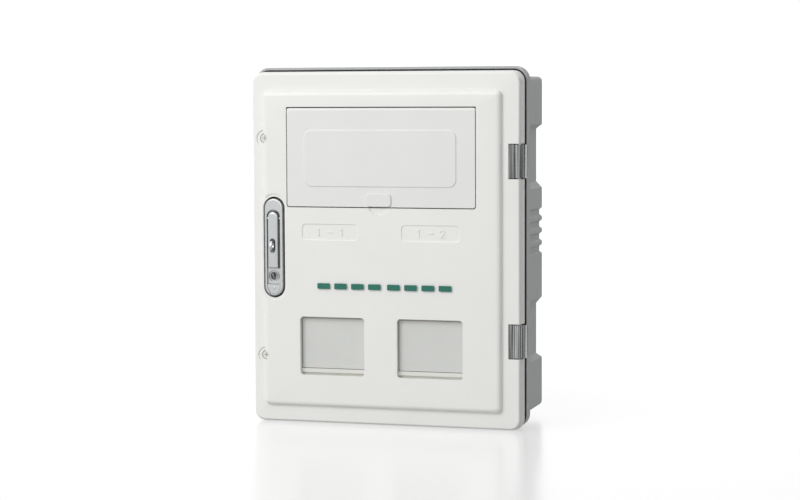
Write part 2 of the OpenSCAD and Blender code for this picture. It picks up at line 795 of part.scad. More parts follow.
module window_frame_left() { color([0.88, 0.88, 0.86]) window_frame(win_xs[0]); }

module window_frame_right() { color([0.88, 0.88, 0.86]) window_frame(win_xs[1]); }

module window_glass_left() { color([0.80, 0.81, 0.80, 0.6]) window_glass(win_xs[0]); }

module window_glass_right() { color([0.80, 0.81, 0.80, 0.6]) window_glass(win_xs[1]); }

module window_pane_left() { color([0.80, 0.81, 0.80]) window_pane(win_xs[0]); }

module window_pane_right() { color([0.80, 0.81, 0.80]) window_pane(win_xs[1]); }

module seal_screws() {
    color([0.68, 0.69, 0.70]) for (z = seal_zs)
        screw_y(seal_x, z, seal_head_y, 6.2, 4, 3, -142.4);
}

// ---- breaker flap ------------------------------------------------------------
module flap_panel() {
    raised = [-115.6, 107.4, 87.8 - door_drop, 168.2 - door_drop];
    lean = 1.3;
    color([0.89, 0.89, 0.87]) difference() {
        union() {
            ext(front, front + 2.6) box_outline(flap_x0, flap_x1, flap_z0, flap_z1, 3);
            // stiffening rib round the back, with a bead along the top
            difference() {
                ext(front, front + 5.4) box_outline(flap_x0, flap_x1, flap_z0, flap_z1, 3);
                ext(front - 1, front + 6)
                    box_outline(flap_x0 + 4.4, flap_x1 - 4.4, flap_z0 + 4, flap_z1 - 5.8, 2);
            }
            rod_x(flap_pivot_y, flap_pivot_z, flap_bead_r, flap_x0, flap_x1);
            // raised inner rectangle
            hull() {
                ext(front - 1.2, front + 1)
                    box_outline(raised[0] + lean, raised[1] - lean, raised[2] + lean, raised[3] - lean, 10,
                        fn_hull);
                ext(front, front + 1) box_outline(raised[0], raised[1], raised[2], raised[3], 11, fn_hull);
            }
            // finger tab
            hull() {
                ext(front - 2.2, front + 1)
                    box_outline(tab_x - 17.4, tab_x + 17.4, flap_z0 + 1.2, 78.2 - door_drop, 4.5, fn_hull);
                ext(front, front + 1)
                    box_outline(tab_x - 18.7, tab_x + 18.7, flap_z0, 79.4 - door_drop, 5.5, fn_hull);
            }
        }
        // top edge rounded about the pivot, so that it turns inside the opening
        difference() {
            translate([flap_x0 - 1, front - 2, flap_pivot_z]) cube([flap_x1 - flap_x0 + 2, 12, 8]);
            rod_x(flap_pivot_y, flap_pivot_z, flap_edge_r, flap_x0 - 2, flap_x1 + 2);
        }
        for (s = [-1, 1])
            rod_x(flap_pivot_y, flap_pivot_z, flap_pin_r, mid_x + s * 132 - 6, mid_x + s * 132 + 6, 32);
    }
}

module flap_pins() {
    color([0.7, 0.71, 0.72]) for (s = [-1, 1])
        rod_x(flap_pivot_y, flap_pivot_z, flap_pin_r, mid_x + s * 135 - 5.7, mid_x + s * 135 + 5.7, 32);
}

// ---- handle lock -------------------------------------------------------------
module recess_outline() {
    half = recess_w / 2;
    top = recess_top - half;
    side = cap_z - cap_side - 0.2;
    foot = cap_z - cap_h - 0.4;
    translate([lock_x, top]) circle(half, $fn = fn_fine);
    translate([lock_x, 0]) polygon([[-half, top], [half, top], [half, side], [cap_foot + 0.3, foot],
        [-cap_foot - 0.3, foot], [-half, side]]);
}

module lock_escutcheon() {
    color([0.78, 0.79, 0.80]) difference() {
        union() {
            hull() for (k = [[4.4, 0], [1.8, 0.9], [0, 3.4]])
                translate([lock_x, 0, lock_z])
                    ext(lock_front + k[1], lock_seat) stadium(lock_w - k[0], lock_h - k[0]);
            ext(lock_seat, face + skin) translate([lock_x, lock_z]) stadium(insert_w, insert_h);
        }
        ext(lock_front - 1, recess_floor) recess_outline();
        // pit under the lever's pivoting end
        ext(recess_floor - 1, -160.4) translate([lock_x, pivot_z]) stadium(18.5, 22);
        rod_y(lock_x, pivot_z, spindle_r + joint_gap, -164, face + skin + 1);
        rod_x(lever_pivot_y, pivot_z, lever_pin_r + joint_gap, lock_x - lever_pin_l / 2 - 0.3,
            lock_x + lever_pin_l / 2 + 0.3, 32);
        rod_y(lock_x, key_z, key_body_r + joint_gap, recess_floor - 1, face + skin + 1);
        // side grooves that guide the dust cap
        ext(cap_back - 1.3, cap_back + 0.1)
            box_outline(lock_x - groove_w / 2, lock_x + groove_w / 2, cap_z - 5.5,
                cap_z + cap_travel + 0.5, 0.5);
    }
    // padlock eye that stands out through the lever's slot
    color([0.70, 0.71, 0.72]) difference() {
        union() {
            translate([lock_x - eye_t / 2, eye_y, eye_z - eye_r])
                cube([eye_t, recess_floor + 0.4 - eye_y, 2 * eye_r]);
            rod_x(eye_y, eye_z, eye_r, lock_x - eye_t / 2, lock_x + eye_t / 2);
        }
        rod_x(eye_y, eye_z, eye_hole_r, lock_x - eye_t, lock_x + eye_t);
    }
}

module lock_gasket() {
    color([0.06, 0.06, 0.06]) ext(lock_seat, face) translate([lock_x, lock_z]) difference() {
        stadium(well_w - 0.3, well_h - 0.3);
        stadium(insert_w + 0.4, insert_h + 0.4);
    }
}

module lock_back_plate() {
    color([0.60, 0.61, 0.62]) difference() {
        ext(face + skin, face + skin + 2.5) translate([lock_x, lock_z]) stadium(insert_w + 7.6, lock_h - 6);
        rod_y(lock_x, pivot_z, spindle_r + joint_gap, face, face + 8);
        rod_y(lock_x, key_z, key_body_r + 0.1, face, face + 8);
        for (s = [1, -1]) rod_y(lock_x, lock_z + s * lock_screw_z, 2.1, face, face + 8, 32);
    }
}

module lock_screws() {
    color([0.74, 0.75, 0.76]) for (s = [1, -1]) mirror([0, 1, 0])
        screw_y(lock_x, lock_z + s * lock_screw_z, -(face + skin + 5), 3.6, 2.5, 1.9, -(face + skin));
}

// Cylinder body in a square block: a round well with a raised ring round the plug
module key_cylinder() {
    color([0.76, 0.77, 0.78]) difference() {
        union() {
            ext(key_front, recess_floor)
                box_outline(lock_x - 9.6, lock_x + 9.6, key_z - 11.2, key_z + 11.1, 1.2);
            rod_y(lock_x, key_z, key_body_r, recess_floor, -146);
        }
        rod_y(lock_x, key_z, plug_r + joint_gap, key_front - 1, -147.5);
        difference() {
            rod_y(lock_x, key_z, key_well_r, key_front - 1, key_front + 2.8);
            rod_y(lock_x, key_z, key_boss_r, key_front + 0.7, key_front + 3);
        }
    }
}

module key_plug() {
    color([0.55, 0.56, 0.57]) difference() {
        rod_y(lock_x, key_z, plug_r, key_front + 3, -148);
        translate([lock_x - 0.9, key_front - 1, key_z - 4.2]) cube([1.8, 12, 8.4]);
    }
}

// Dust cap: a shield-shaped shutter with side wings that run in the escutcheon's grooves
module dust_cap() {
    half = cap_w / 2;
    color([0.72, 0.73, 0.74]) union() {
        ext(cap_front, cap_back) translate([lock_x, cap_z])
            polygon([[-half, 0], [half, 0], [half, -cap_side], [cap_foot, -cap_h], [-cap_foot, -cap_h],
                [-half, -cap_side]]);
        ext(cap_back - 1.1, cap_back) translate([lock_x, cap_z - 2.7])
            square([groove_w - 0.6, 4.2], center = true);
        rod_y(lock_x, cap_z - 5.4, 2.2, cap_front - 0.7, cap_front);
    }
}

module lock_lever() {
    r = lever_w / 2;
    color([0.80, 0.81, 0.82]) difference() {
        union() {
            hull() {
                for (k = [[2.2, 0], [0.8, 0.9], [0, 3]])
                    ext(lever_front + k[1], lever_back - 0.8) {
                        translate([lock_x, lever_top - r]) circle(r - k[0], $fn = fn_hull);
                        translate([lock_x - r + k[0], lever_foot + k[0]])
                            square([lever_w - 2 * k[0], lever_top - r - lever_foot - k[0]]);
                    }
            }
            ext(lever_back - 1, lever_back) {
                translate([lock_x, lever_top - r]) circle(r - 0.6, $fn = fn_fine);
                translate([lock_x - r + 0.6, lever_foot + 0.6])
                    square([lever_w - 1.2, lever_top - r - lever_foot - 0.6]);
            }
        }
        ext(lever_front - 1, lever_back + 1) translate([lock_x, eye_z]) stadium(slot_w, slot_h);
        rod_x(lever_pivot_y, pivot_z, lever_pin_r + joint_gap, lock_x - 12, lock_x + 12, 32);
    }
}

module lever_pin() {
    color([0.66, 0.67, 0.68]) rod_x(lever_pivot_y, pivot_z, lever_pin_r,
        lock_x - lever_pin_l / 2, lock_x + lever_pin_l / 2, 32);
}

module lock_spindle() {
    color([0.66, 0.67, 0.68]) {
        rod_y(lock_x, pivot_z, spindle_r, -162.4, cam_y);
        translate([lock_x - 3.5, cam_y, pivot_z - 3.5]) cube([7, cam_t, 7]);
        rod_y(lock_x, pivot_z, 3, cam_y + cam_t, cam_y + cam_t + 6, 32);
    }
}

module lock_cam() {
    color([0.60, 0.61, 0.62]) difference() {
        ext(cam_y, cam_y + cam_t) translate([lock_x, pivot_z]) {
            circle(6.6, $fn = fn_fine);
            translate([-5, 0]) square([10, 17.5]);
        }
        translate([lock_x - 3.5, cam_y - 1, pivot_z - 3.5]) cube([7, cam_t + 2, 7]);
    }
}

module cam_nut() {
    color([0.70, 0.71, 0.72]) difference() {
        rod_y(lock_x, pivot_z, 5.5, cam_y + cam_t, cam_y + cam_t + 4, 6);
        rod_y(lock_x, pivot_z, 3, cam_y, cam_y + 12, 32);
    }
}

base_shell();
door_gasket();
mounting_board();
board_spacers();
board_screws();
din_rail();
rail_brackets();
main_switch_case();
breaker_left_case();
breaker_right_case();
switch_screws();
neutral_bar();
earth_bar();
bar_supports();
bar_screws();
meter_left_case();
meter_left_cover();
meter_left_display();
meter_left_terminals();
meter_left_terminal_cover();
meter_right_case();
meter_right_cover();
meter_right_display();
meter_right_terminals();
meter_right_terminal_cover();
meter_seal_screws();
cable_grommets();
live_wires();
neutral_wires();
hinge_brackets();
hinge_pins();
hinge_leaves();
door_panel();
breaker_tray();
window_frame_left();
window_frame_right();
window_glass_left();
window_glass_right();
lock_escutcheon();
lock_gasket();
lock_back_plate();
lock_screws();
key_cylinder();
seal_screws();
lever_pin();
flap_panel();
flap_pins();
window_pane_left();
window_pane_right();
lock_lever();
lock_spindle();
lock_cam();
cam_nut();
key_plug();
dust_cap();
main_switch_toggle();
breaker_left_toggle();
breaker_right_toggle();
meter_left_button();
meter_right_button();
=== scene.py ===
"""Looks of a two-position electric meter box: finishes, small details, floor, light and camera.

Lengths are in metres, in the row's frame: +Z up, the door faces -Y, the wall is at y = 0.
"""
import json
import math

import bmesh
import bpy
from mathutils import Matrix, Vector


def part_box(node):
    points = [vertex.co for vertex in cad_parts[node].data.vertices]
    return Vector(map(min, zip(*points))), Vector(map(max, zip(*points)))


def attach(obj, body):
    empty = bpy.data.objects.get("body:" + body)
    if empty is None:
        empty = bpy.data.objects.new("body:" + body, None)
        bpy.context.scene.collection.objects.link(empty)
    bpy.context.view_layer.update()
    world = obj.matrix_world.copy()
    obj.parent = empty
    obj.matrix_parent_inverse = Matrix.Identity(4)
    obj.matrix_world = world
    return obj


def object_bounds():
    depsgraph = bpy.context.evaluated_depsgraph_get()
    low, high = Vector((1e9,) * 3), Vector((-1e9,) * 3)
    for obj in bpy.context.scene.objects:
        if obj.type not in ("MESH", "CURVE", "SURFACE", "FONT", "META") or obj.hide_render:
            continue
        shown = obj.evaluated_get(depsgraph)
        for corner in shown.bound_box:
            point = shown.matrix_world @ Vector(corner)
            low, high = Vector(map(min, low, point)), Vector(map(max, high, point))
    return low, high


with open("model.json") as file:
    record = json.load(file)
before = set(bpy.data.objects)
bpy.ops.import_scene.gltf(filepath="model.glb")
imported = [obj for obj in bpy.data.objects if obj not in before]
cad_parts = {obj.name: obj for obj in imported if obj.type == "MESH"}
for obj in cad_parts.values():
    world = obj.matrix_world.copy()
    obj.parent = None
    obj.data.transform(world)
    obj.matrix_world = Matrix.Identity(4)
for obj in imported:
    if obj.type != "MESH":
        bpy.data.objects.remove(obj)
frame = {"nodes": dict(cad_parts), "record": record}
nodes = frame["nodes"]
cad_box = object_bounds()
MM = 0.001


# ---- camera ---------------------------------------------------------------------------
CAMERA_AT = Vector((0.8649, -2.9584, 0.2138))
CAMERA_YAW = math.radians(16.754)      # to the left of +Y
CAMERA_PITCH = math.radians(4.299)     # downwards
CAMERA_ROLL = math.radians(-0.2466)
CAMERA_LENS = 94.086                   # mm, on a 36 mm sensor


def make_camera():
    """Long-lens camera, a little to the right of the box and above its middle."""
    right = Vector((math.cos(CAMERA_YAW), math.sin(CAMERA_YAW), 0))
    forward = Vector((-math.sin(CAMERA_YAW) * math.cos(CAMERA_PITCH),
                      math.cos(CAMERA_YAW) * math.cos(CAMERA_PITCH), -math.sin(CAMERA_PITCH)))
    up = right.cross(forward)
    c, s = math.cos(CAMERA_ROLL), math.sin(CAMERA_ROLL)
    axes = Matrix((c * right + s * up, c * up - s * right, -forward)).transposed()
    data = bpy.data.cameras.new("camera")
    data.lens = CAMERA_LENS
    data.sensor_width = 36
    data.clip_start, data.clip_end = 0.05, 60
    camera = bpy.data.objects.new("camera", data)
    camera.matrix_world = Matrix.Translation(CAMERA_AT) @ axes.to_4x4()
    bpy.context.scene.collection.objects.link(camera)
    bpy.context.scene.camera = camera


# ---- material helpers -----------------------------------------------------------------
def srgb(red, green, blue):
    """Linear colour of a display colour given from 0 to 255."""
    def linear(value):
        value /= 255
        return value / 12.92 if value <= 0.04045 else ((value + 0.055) / 1.055) ** 2.4
    return tuple(linear(v) for v in (red, green, blue))


class Finish:
    """A Principled material with object-space patterns and softly rounded edges."""

    def __init__(self, name, colour, roughness, edge=0.4 * MM, metallic=0.0):
        self.material = bpy.data.materials.new(name)
        self.material.use_nodes = True
        self.tree = self.material.node_tree
        self.shader = self.tree.nodes["Principled BSDF"]
        self.shader.inputs["Base Color"].default_value = (*colour, 1)
        self.shader.inputs["Roughness"].default_value = roughness
        self.shader.inputs["Metallic"].default_value = metallic
        self.colour = colour
        self.roughness = roughness
        self.place = self.add("TexCoord").outputs["Object"]
        self.normal = None
        if edge:
            bevel = self.add("Bevel")
            bevel.samples = 6
            bevel.inputs["Radius"].default_value = edge
            self.normal = bevel.outputs["Normal"]
            self.link(self.normal, self.shader.inputs["Normal"])

    def add(self, kind):
        return self.tree.nodes.new("ShaderNode" + kind)

    def link(self, output, socket):
        self.tree.links.new(output, socket)

    def stretched(self, scale):
        """Object coordinates multiplied by a vector, for brushed or layered patterns."""
        mapping = self.add("Mapping")
        mapping.inputs["Scale"].default_value = scale
        self.link(self.place, mapping.inputs["Vector"])
        return mapping.outputs["Vector"]

    def noise(self, size, detail=2.0, place=None):
        """Noise whose features are about size metres across."""
        node = self.add("TexNoise")
        node.inputs["Scale"].default_value = 1 / size
        node.inputs["Detail"].default_value = detail
        self.link(place or self.place, node.inputs["Vector"])
        return node.outputs["Fac"]

    def cells(self, size):
        """Distance pattern of cells about size metres across."""
        node = self.add("TexVoronoi")
        node.inputs["Scale"].default_value = 1 / size
        self.link(self.place, node.inputs["Vector"])
        return node.outputs["Distance"]

    def spread(self, value, low, high, spread=0.22):
        """Maps a noise value around one half onto low to high."""
        node = self.add("MapRange")
        node.inputs["From Min"].default_value = 0.5 - spread
        node.inputs["From Max"].default_value = 0.5 + spread
        node.inputs["To Min"].default_value = low
        node.inputs["To Max"].default_value = high
        self.link(value, node.inputs["Value"])
        return node.outputs["Result"]

    def tint(self, value, amount):
        """Lightens and darkens the base colour by amount, where value goes from 0 to 1."""
        mix = self.add("Mix")
        mix.data_type = "RGBA"
        dark = [c * (1 - amount) for c in self.colour]
        light = [min(1.0, c * (1 + amount)) for c in self.colour]
        mix.inputs["A"].default_value = (*dark, 1)
        mix.inputs["B"].default_value = (*light, 1)
        self.link(value, mix.inputs["Factor"])
        self.link(mix.outputs["Result"], self.shader.inputs["Base Color"])
        return self

    def gloss(self, value, amount):
        """Varies the roughness by amount either way."""
        low, high = self.roughness - amount, self.roughness + amount
        self.link(self.spread(value, low, high), self.shader.inputs["Roughness"])
        return self

    def bump(self, value, depth):
        """Raises the surface by up to depth metres where value is 1."""
        node = self.add("Bump")
        node.inputs["Distance"].default_value = depth
        self.link(value, node.inputs["Height"])
        if self.normal:
            self.link(self.normal, node.inputs["Normal"])
        self.normal = node.outputs["Normal"]
        self.link(self.normal, self.shader.inputs["Normal"])
        return self

    def set(self, **values):
        """Sets shader sockets by name, with underscores for spaces."""
        for name, value in values.items():
            self.shader.inputs[name.replace("_", " ")].default_value = value
        return self


def moulded(name, colour, roughness=0.42, mottle=0.012):
    """Injection or compression moulded plastic: fine grain, faint flow marks, uneven gloss."""
    finish = Finish(name, colour, roughness, edge=0.2 * MM)
    flow = finish.noise(60 * MM, 3)
    finish.tint(finish.spread(flow, 0, 1), mottle)
    finish.gloss(finish.noise(9 * MM, 4), 0.06)
    finish.bump(finish.noise(0.7 * MM, 3), 0.02 * MM)
    finish.bump(finish.noise(25 * MM, 1), 0.12 * MM)
    return finish


def grained(name, colour, roughness=0.6):
    """Coarser moulding compound, with pale and dark fibre specks in the skin."""
    finish = Finish(name, colour, roughness, edge=0.9 * MM)
    specks = finish.noise(0.9 * MM, 5)
    finish.tint(finish.spread(specks, 0, 1, 0.16), 0.10)
    finish.gloss(finish.noise(5 * MM, 3), 0.08)
    finish.bump(finish.noise(1.1 * MM, 4), 0.10 * MM)
    return finish.set(Specular_IOR_Level=0.3)


def brushed(name, colour, roughness, along):
    """Metal with fine lines drawn out along one axis."""
    finish = Finish(name, colour, roughness, edge=0.3 * MM, metallic=1.0)
    lines = finish.noise(0.35 * MM, 4, finish.stretched(along))
    finish.tint(finish.spread(finish.noise(6 * MM, 3), 0, 1), 0.05)
    finish.gloss(lines, 0.07)
    finish.bump(lines, 0.01 * MM)
    return finish


def cast(name, colour, roughness=0.22):
    """Polished cast metal with upright drawing lines and small dark pits, and upright paler and
    darker bands painted into its colour as painted reflection.
    """
    finish = Finish(name, colour, roughness, edge=0.35 * MM, metallic=1.0)
    lines = finish.noise(1.6 * MM, 3, finish.stretched((1, 1, 0.012)))
    # painted reflection: the upright lines make the colour much paler and darker in bands, like
    # reflections on a rounded barrel; the bump of the same lines is real
    finish.tint(finish.spread(lines, 0, 1, 0.12), 0.6)
    finish.gloss(finish.noise(2 * MM, 3), 0.06)
    finish.bump(lines, 0.05 * MM)
    finish.bump(finish.noise(1.3 * MM, 3), 0.02 * MM)
    return finish


def chrome_with_painted_reflections(name, colour, roughness=0.14):
    """Bright plated metal with bumped facets, its colour painted paler and darker in facet patches
    as painted reflection.
    """
    finish = Finish(name, colour, roughness, edge=0.3 * MM, metallic=1.0)
    facets_and_painted_reflection = finish.cells(3.2 * MM)
    # painted reflection: the facet cells make the colour much paler and darker in patches, standing
    # in for reflections
    finish.tint(finish.spread(facets_and_painted_reflection, 0, 1, 0.22), 0.85)
    finish.gloss(finish.noise(1.5 * MM, 3), 0.05)
    finish.bump(facets_and_painted_reflection, 0.25 * MM)
    return finish


def silver_paint(name, colour, roughness=0.34):
    """Satin silver coat with fine metal flake."""
    finish = Finish(name, colour, roughness, edge=0.45 * MM, metallic=0.85)
    flake = finish.cells(0.35 * MM)
    finish.tint(finish.spread(flake, 0, 1, 0.4), 0.05)
    finish.gloss(finish.noise(4 * MM, 3), 0.05)
    finish.bump(finish.noise(0.5 * MM, 3), 0.012 * MM)
    return finish


def rubbery(name, colour, roughness=0.75):
    """Matt rubber or soft cable sheath, slightly uneven."""
    finish = Finish(name, colour, roughness, edge=0.5 * MM)
    finish.tint(finish.spread(finish.noise(7 * MM, 4), 0, 1), 0.25)
    finish.gloss(finish.noise(3 * MM, 3), 0.08)
    finish.bump(finish.noise(0.5 * MM, 3), 0.03 * MM)
    return finish


def frosted(name, colour):
    """Milky plate: sandblasted skin over a slightly cloudy body."""
    finish = Finish(name, colour, 0.38, edge=0.35 * MM)
    finish.tint(finish.spread(finish.noise(35 * MM, 3), 0, 1), 0.015)
    finish.gloss(finish.noise(6 * MM, 3), 0.05)
    finish.bump(finish.noise(0.35 * MM, 2), 0.012 * MM)
    return finish.set(Subsurface_Weight=0.2, Subsurface_Scale=2 * MM)


def laminate(name, colour):
    """Pressed board with fine horizontal fibres."""
    finish = Finish(name, colour, 0.5, edge=0.3 * MM)
    fibres = finish.noise(2.2 * MM, 6, finish.stretched((0.08, 1, 1)))
    finish.tint(finish.spread(fibres, 0, 1, 0.2), 0.07)
    finish.gloss(finish.noise(8 * MM, 3), 0.06)
    finish.bump(fibres, 0.03 * MM)
    return finish


def clear_sheet(name):
    """Clear polycarbonate with a faint haze."""
    finish = Finish(name, (0.92, 0.94, 0.93), 0.08, edge=0)
    finish.gloss(finish.noise(12 * MM, 3), 0.03)
    return finish.set(Transmission_Weight=0.9, IOR=1.58)


def liquid_crystal(name, colour):
    """Display pane: dark green-grey cell with a faint horizontal line pattern."""
    finish = Finish(name, colour, 0.12, edge=0.2 * MM)
    wave = finish.add("TexWave")
    wave.bands_direction = "Z"
    wave.inputs["Scale"].default_value = 260
    finish.link(finish.place, wave.inputs["Vector"])
    finish.tint(wave.outputs["Fac"], 0.04)
    finish.gloss(finish.noise(10 * MM, 2), 0.03)
    return finish.set(Coat_Weight=0.6, Coat_Roughness=0.05)


def make_finishes():
    """One finish for each material slot of the record."""
    return {
        "door_plastic": moulded("door_plastic", srgb(236, 236, 233)),
        "flap_plastic": moulded("flap_plastic", srgb(230, 230, 228)),
        "base_plastic": grained("base_plastic", srgb(189, 192, 191)),
        "inner_plastic": moulded("inner_plastic", srgb(222, 222, 216), 0.5),
        "frosted_pane": frosted("frosted_pane", srgb(212, 213, 210)),
        "clear_glazing": clear_sheet("clear_glazing"),
        "rubber": rubbery("rubber", (0.018, 0.018, 0.019)),
        "lock_metal": silver_paint("lock_metal", srgb(188, 190, 191)),
        # painted reflection: the dark base colour of the plated metal stands in for dark
        # reflections
        "chrome": chrome_with_painted_reflections("chrome", srgb(112, 113, 114)),
        "hinge_metal": cast("hinge_metal", srgb(138, 139, 139)),
        "steel": brushed("steel", srgb(196, 198, 200), 0.34, (0.06, 1, 1)),
        "brass": brushed("brass", (0.72, 0.50, 0.19), 0.28, (0.06, 1, 1)),
        "board_laminate": laminate("board_laminate", srgb(206, 199, 180)),
        "meter_plastic": moulded("meter_plastic", srgb(226, 228, 227), 0.34),
        "terminal_plastic": moulded("terminal_plastic", (0.030, 0.030, 0.034), 0.5, mottle=0.15),
        "display_glass": liquid_crystal("display_glass", srgb(132, 150, 122)),
        "switch_plastic": moulded("switch_plastic", srgb(231, 231, 228), 0.38),
        "toggle_red": moulded("toggle_red", (0.42, 0.020, 0.014), 0.32, mottle=0.06),
        "toggle_black": moulded("toggle_black", (0.016, 0.017, 0.020), 0.32, mottle=0.15),
        "support_plastic": moulded("support_plastic", srgb(46, 108, 170), 0.45, mottle=0.05),
        "live_insulation": rubbery("live_insulation", (0.36, 0.020, 0.014), 0.42),
        "neutral_insulation": rubbery("neutral_insulation", (0.018, 0.060, 0.30), 0.42),
        "button_rubber": rubbery("button_rubber", (0.055, 0.065, 0.075)),
    }


# ---- CAD nodes ------------------------------------------------------------------------
SMOOTH_ANGLE = math.radians(34)
SEAM_GAP = 0.003 * MM
FLAT_WEIGHT = 80                       # how strongly large faces keep their neighbours' normals


def smooth_by_angle():
    """Geometry nodes that mark every edge sharper than SMOOTH_ANGLE as sharp."""
    group = bpy.data.node_groups.new("smooth_by_angle", "GeometryNodeTree")
    group.interface.new_socket("Geometry", in_out="INPUT", socket_type="NodeSocketGeometry")
    group.interface.new_socket("Geometry", in_out="OUTPUT", socket_type="NodeSocketGeometry")
    start = group.nodes.new("NodeGroupInput")
    angle = group.nodes.new("GeometryNodeInputMeshEdgeAngle")
    compare = group.nodes.new("FunctionNodeCompare")
    compare.operation = "GREATER_THAN"
    compare.inputs["B"].default_value = SMOOTH_ANGLE
    shade = group.nodes.new("GeometryNodeSetShadeSmooth")
    shade.domain = "EDGE"
    shade.inputs["Shade Smooth"].default_value = False
    end = group.nodes.new("NodeGroupOutput")
    group.links.new(angle.outputs["Unsigned Angle"], compare.inputs["A"])
    group.links.new(start.outputs[0], shade.inputs["Geometry"])
    group.links.new(compare.outputs["Result"], shade.inputs["Selection"])
    group.links.new(shade.outputs["Geometry"], end.inputs[0])
    return group


def smooth_shading(piece, group):
    """Joins the faces' split corners, then shades by angle with flat faces kept flat."""
    for name in ("custom_normal", "sharp_edge", "sharp_face"):
        attribute = piece.data.attributes.get(name)
        if attribute:
            piece.data.attributes.remove(attribute)
    piece.data.shade_smooth()
    weld = piece.modifiers.new("join_corners", "WELD")
    weld.merge_threshold = SEAM_GAP
    by_angle = piece.modifiers.new("smooth_by_angle", "NODES")
    by_angle.node_group = group
    weighted = piece.modifiers.new("flat_faces", "WEIGHTED_NORMAL")
    weighted.keep_sharp = True
    weighted.weight = FLAT_WEIGHT


def paint_nodes(finishes):
    """Gives each CAD node its slot's finish and smooth shading."""
    group = smooth_by_angle()
    for part in frame["record"]["subparts"]:
        piece = nodes[part["node"]]
        piece.data.materials.clear()
        piece.data.materials.append(finishes[part["material_slot"]].material)
        smooth_shading(piece, group)


# ---- printed marks and readouts -------------------------------------------------------
MARK_SIZE = Vector((18.5, 0.12, 8)) * MM
MARK_CORNER = 1.2 * MM
MARK_PITCH = 25 * MM
MARK_STARTS = (-86.8 * MM, 16.2 * MM)  # x of the first bar of each group
MARKS_IN_GROUP = 4
MARK_Z = -58 * MM
DIGITS = 6
DIGIT_PITCH = 10.5 * MM
DIGIT_SIZE = Vector((6.2, 0.1, 14)) * MM
STROKE = 1.5 * MM
# middles of a zero's six segments, in halves of the digit's width and height
ZERO = ((0, 1), (0, -1), (-1, 0.5), (-1, -0.5), (1, 0.5), (1, -0.5))


def raise_outline(work, outline, depth):
    """Prism of the given depth, on an outline that lies on a surface facing -Y."""
    foot = work.faces.new([work.verts.new(point) for point in outline])
    grown = bmesh.ops.extrude_face_region(work, geom=[foot])
    front = [v for v in grown["geom"] if isinstance(v, bmesh.types.BMVert)]
    bmesh.ops.translate(work, verts=front, vec=(0, -depth, 0))


def finish_piece(work, name, finish, body):
    """Turns the built mesh into a piece that rides on a body."""
    bmesh.ops.recalc_face_normals(work, faces=work.faces)
    mesh = bpy.data.meshes.new(name)
    work.to_mesh(mesh)
    work.free()
    mesh.materials.append(finish.material)
    piece = bpy.data.objects.new(name, mesh)
    bpy.context.scene.collection.objects.link(piece)
    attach(piece, body)


def rounded_outline(middle, size, corner, steps=6):
    """Corner-rounded rectangle round a point, in the XZ plane."""
    outline = []
    for quarter, (right, up) in enumerate(((1, 1), (-1, 1), (-1, -1), (1, -1))):
        centre = Vector((right * (size.x / 2 - corner), 0, up * (size.z / 2 - corner)))
        for step in range(steps + 1):
            turn = math.radians(90 * (quarter + step / steps))
            edge = corner * Vector((math.cos(turn), 0, math.sin(turn)))
            outline.append(middle + centre + edge)
    return outline


def segment_outline(middle, along, length):
    """Pointed display segment round a point; along is its direction."""
    side = Vector((along.z, 0, along.x)) * STROKE / 2
    tip = along * length / 2
    neck = tip - along * STROKE / 2
    return [middle + p for p in (tip, neck + side, -neck + side, -tip, -neck - side, neck - side)]


def make_marks(finish):
    """Two groups of plain green bars, printed on the door under the name plaques."""
    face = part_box("flap_panel")[0].y
    for group, start in enumerate(MARK_STARTS):
        work = bmesh.new()
        for number in range(MARKS_IN_GROUP):
            middle = Vector((start + number * MARK_PITCH, face, MARK_Z))
            raise_outline(work, rounded_outline(middle, MARK_SIZE, MARK_CORNER), MARK_SIZE.y)
        finish_piece(work, f"door_marks_{group + 1}", finish, "door")


def make_readout(side, finish):
    """A row of plain zeros on a meter's display."""
    low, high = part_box(f"meter_{side}_display")
    middle = (low + high) / 2
    work = bmesh.new()
    for digit in range(DIGITS):
        x = middle.x + (digit - (DIGITS - 1) / 2) * DIGIT_PITCH
        for across, up in ZERO:
            at = Vector((x + across * DIGIT_SIZE.x / 2, low.y, middle.z + up * DIGIT_SIZE.z / 2))
            along = Vector((0, 0, 1)) if across else Vector((1, 0, 0))
            length = (DIGIT_SIZE.z / 2 if across else DIGIT_SIZE.x) - DIGIT_SIZE.y
            raise_outline(work, segment_outline(at, along, length), DIGIT_SIZE.y)
    finish_piece(work, f"meter_{side}_readout", finish, "enclosure")


# ---- stage ----------------------------------------------------------------------------
FLOOR_HALF = 30                        # far enough out to reach the horizon
FLOOR_GAP = 0.2 * MM
FLOOR_GLOW = 0.505                     # keeps the floor white where it reflects nothing


def make_floor():
    """A plain pale floor, just under the box's lowest edge, with a faint reflection."""
    mesh = bpy.data.meshes.new("floor")
    z = cad_box[0].z - FLOOR_GAP
    corners = [(x * FLOOR_HALF, y * FLOOR_HALF, z) for x, y in ((-1, -1), (1, -1), (1, 1), (-1, 1))]
    mesh.from_pydata(corners, [], [(0, 1, 2, 3)])
    floor = bpy.data.objects.new("floor", mesh)
    floor.visible_diffuse = False
    floor.visible_shadow = False
    bpy.context.scene.collection.objects.link(floor)
    finish = Finish("floor", (0.25, 0.25, 0.25), 0.24, edge=0)
    finish.gloss(finish.noise(0.4, 2), 0.02)
    finish.set(Emission_Color=(1, 1, 1, 1), Emission_Strength=FLOOR_GLOW)
    mesh.materials.append(finish.material)


